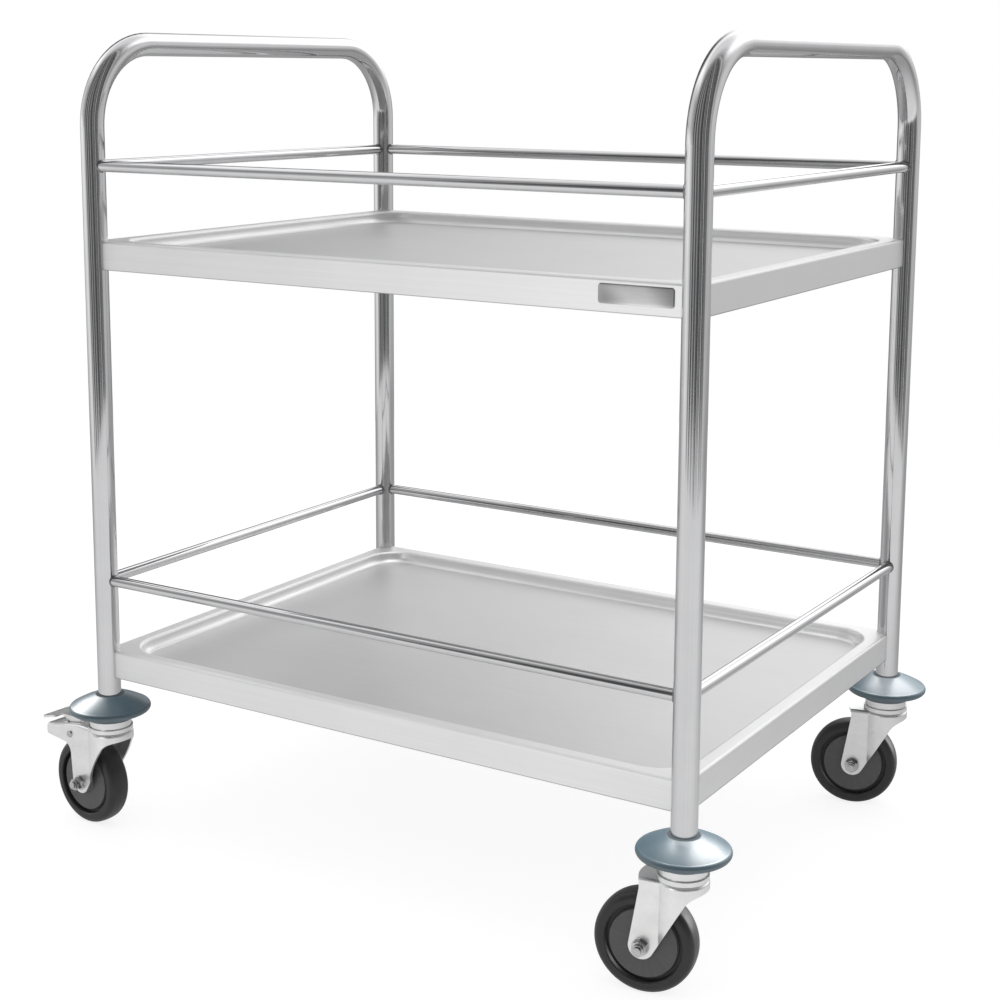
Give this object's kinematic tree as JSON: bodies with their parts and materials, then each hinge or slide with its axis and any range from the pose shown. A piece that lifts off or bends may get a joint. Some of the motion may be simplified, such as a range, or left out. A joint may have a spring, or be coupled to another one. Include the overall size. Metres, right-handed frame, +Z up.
{
  "type": "serving trolley",
  "caption": "Stainless serving trolley: tube end frames with push handles, pressed trays with gallery rails, round wall bumpers and swivel casters, some with brakes.",
  "frame": {"origin": "on the floor, midway between the four posts", "axes": "+Z up, X along the trays' long side between the two handles, -Y towards the front"},
  "size_m": [0.8561, 0.624, 0.8887],
  "materials": {
    "polished_tube": "polished",
    "tray_sheet": "satin",
    "fixing_steel": "bright",
    "zinc_plate": "zinc plated",
    "sleeve_plastic": "matte",
    "bumper_rubber": "satin",
    "tyre_rubber": "matte",
    "wheel_plastic": "matte"
  },
  "bodies": {
    "frame": {"left_end_frame": "polished_tube", "right_end_frame": "polished_tube", "upper_tray": "tray_sheet", "lower_tray": "tray_sheet", "tray_screws": "fixing_steel", "tray_nuts": "fixing_steel", "stem_sleeves": "sleeve_plastic", "upper_front_rail": "polished_tube", "upper_back_rail": "polished_tube", "upper_left_rail": "polished_tube", "upper_right_rail": "polished_tube", "lower_front_rail": "polished_tube", "lower_back_rail": "polished_tube", "lower_left_rail": "polished_tube", "lower_right_rail": "polished_tube", "front_left_stem": "zinc_plate", "front_left_bumper": "bumper_rubber", "front_right_stem": "zinc_plate", "front_right_bumper": "bumper_rubber", "back_left_stem": "zinc_plate", "back_left_bumper": "bumper_rubber", "back_right_stem": "zinc_plate", "back_right_bumper": "bumper_rubber"},
    "front_left_caster": {"front_left_fork": "zinc_plate", "front_left_swivel_ring": "fixing_steel", "front_left_axle_bolt": "fixing_steel", "front_left_axle_nut": "fixing_steel", "front_left_axle_bush": "fixing_steel", "front_left_pedal_pin": "fixing_steel"},
    "front_left_wheel": {"front_left_tyre": "tyre_rubber", "front_left_core": "wheel_plastic"},
    "front_left_brake": {"front_left_pedal": "zinc_plate"},
    "front_right_caster": {"front_right_fork": "zinc_plate", "front_right_swivel_ring": "fixing_steel", "front_right_axle_bolt": "fixing_steel", "front_right_axle_nut": "fixing_steel", "front_right_axle_bush": "fixing_steel"},
    "front_right_wheel": {"front_right_tyre": "tyre_rubber", "front_right_core": "wheel_plastic"},
    "back_left_caster": {"back_left_fork": "zinc_plate", "back_left_swivel_ring": "fixing_steel", "back_left_axle_bolt": "fixing_steel", "back_left_axle_nut": "fixing_steel", "back_left_axle_bush": "fixing_steel", "back_left_pedal_pin": "fixing_steel"},
    "back_left_wheel": {"back_left_tyre": "tyre_rubber", "back_left_core": "wheel_plastic"},
    "back_left_brake": {"back_left_pedal": "zinc_plate"},
    "back_right_caster": {"back_right_fork": "zinc_plate", "back_right_swivel_ring": "fixing_steel", "back_right_axle_bolt": "fixing_steel", "back_right_axle_nut": "fixing_steel", "back_right_axle_bush": "fixing_steel"},
    "back_right_wheel": {"back_right_tyre": "tyre_rubber", "back_right_core": "wheel_plastic"}
  },
  "joints": [
    {"name": "front_left_swivel", "type": "hinge", "parent": "frame", "child": "front_left_caster", "pos_m": [-0.357, -0.267, 0.117], "axis": [0, 0, 1], "continuous": true},
    {"name": "front_left_roll", "type": "hinge", "parent": "front_left_caster", "child": "front_left_wheel", "pos_m": [-0.39081, -0.26345, 0.05], "axis": [-0.1045, -0.9945, 0], "continuous": true},
    {"name": "front_left_pedal_press", "type": "hinge", "parent": "front_left_caster", "child": "front_left_brake", "pos_m": [-0.40672, -0.26177, 0.10398], "axis": [-0.1045, -0.9945, 0], "range_deg": [0, 8.2]},
    {"name": "front_right_swivel", "type": "hinge", "parent": "frame", "child": "front_right_caster", "pos_m": [0.357, -0.267, 0.117], "axis": [0, 0, 1], "continuous": true},
    {"name": "front_right_roll", "type": "hinge", "parent": "front_right_caster", "child": "front_right_wheel", "pos_m": [0.32342, -0.27232, 0.05], "axis": [0.1564, -0.9877, 0], "continuous": true},
    {"name": "back_left_swivel", "type": "hinge", "parent": "frame", "child": "back_left_caster", "pos_m": [-0.357, 0.267, 0.117], "axis": [0, 0, 1], "continuous": true},
    {"name": "back_left_roll", "type": "hinge", "parent": "back_left_caster", "child": "back_left_wheel", "pos_m": [-0.39081, 0.27055, 0.05], "axis": [-0.1045, -0.9945, 0], "continuous": true},
    {"name": "back_left_pedal_press", "type": "hinge", "parent": "back_left_caster", "child": "back_left_brake", "pos_m": [-0.40672, 0.27223, 0.10398], "axis": [-0.1045, -0.9945, 0], "range_deg": [0, 8.2]},
    {"name": "back_right_swivel", "type": "hinge", "parent": "frame", "child": "back_right_caster", "pos_m": [0.357, 0.267, 0.117], "axis": [0, 0, 1], "continuous": true},
    {"name": "back_right_roll", "type": "hinge", "parent": "back_right_caster", "child": "back_right_wheel", "pos_m": [0.32401, 0.25877, 0.05], "axis": [0.2419, -0.9703, 0], "continuous": true}
  ]
}
